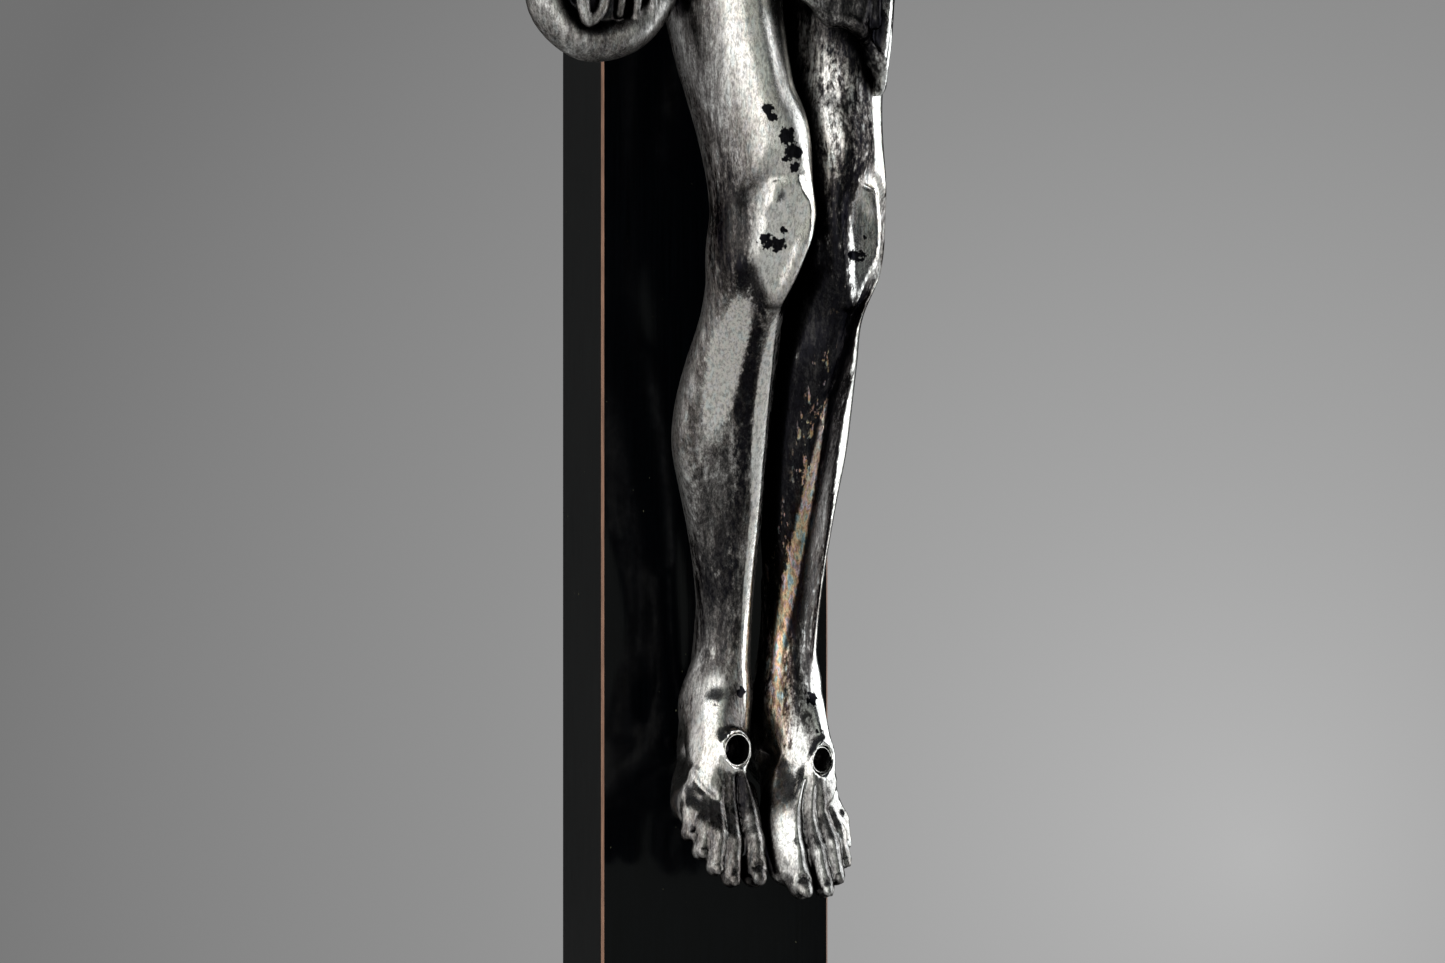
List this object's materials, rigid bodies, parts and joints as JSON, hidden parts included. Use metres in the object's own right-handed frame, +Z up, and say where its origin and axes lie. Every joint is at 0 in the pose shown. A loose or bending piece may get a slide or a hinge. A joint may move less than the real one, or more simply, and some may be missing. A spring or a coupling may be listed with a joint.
{
  "type": "altar cross",
  "caption": "Standing altar cross: a polished cast corpus with a draped loincloth on an ebonised beam cross that lifts out of a stepped, moulded base.",
  "frame": {"origin": "centre of the base's underside", "axes": "+Z up along the upright, -Y out of the front face where the corpus hangs, +X towards the corpus's left hand"},
  "size_m": [0.35, 0.13, 0.67],
  "materials": {
    "cast_silver": "polished cast silver, darkly tarnished in the hollows, with fine vertical scratches and pits",
    "polished_ebony": "black polish, near mirror gloss, with a little dust",
    "ebonised_wood": "black stain, satin, with a faint grain",
    "bare_wood": "red-brown wood worn bare along the edge",
    "brass": "dull old brass",
    "green_baize": "napped wool baize"
  },
  "bodies": {
    "base": {"socket_collar": "ebonised_wood", "top_step": "ebonised_wood", "cornice": "ebonised_wood", "pedestal_boards": "ebonised_wood", "pedestal_side_boards": "ebonised_wood", "socket_strips": "bare_wood", "corner_blocks": "bare_wood", "middle_step": "ebonised_wood", "plinth_board": "ebonised_wood", "base_screws": "brass", "base_dowels": "bare_wood", "baize_pad": "green_baize"},
    "cross": {"upright": "ebonised_wood", "crossbar": "ebonised_wood", "upright_face_veneer": "polished_ebony", "crossbar_face_veneers": "polished_ebony", "end_veneers": "ebonised_wood", "edge_strips": "bare_wood", "title_scroll": "cast_silver", "title_pins": "cast_silver", "torso": "cast_silver", "head": "cast_silver", "crown_of_thorns": "cast_silver", "arm_right": "cast_silver", "arm_left": "cast_silver", "leg_right": "cast_silver", "leg_left": "cast_silver", "foot_right": "cast_silver", "foot_left": "cast_silver", "loincloth": "cast_silver", "loincloth_knot": "cast_silver", "foot_nail_cup_right": "cast_silver", "foot_nail_cup_left": "cast_silver", "hand_nails": "cast_silver", "lap_screws": "brass", "hand_nail_washers": "brass", "hand_nail_nuts": "brass", "back_screw": "brass", "back_screw_washer": "brass"}
  },
  "joints": [
    {"name": "cross_lift", "type": "slide", "parent": "base", "child": "cross", "axis": [0, 0, 1], "range_m": [0, 0.07]}
  ]
}
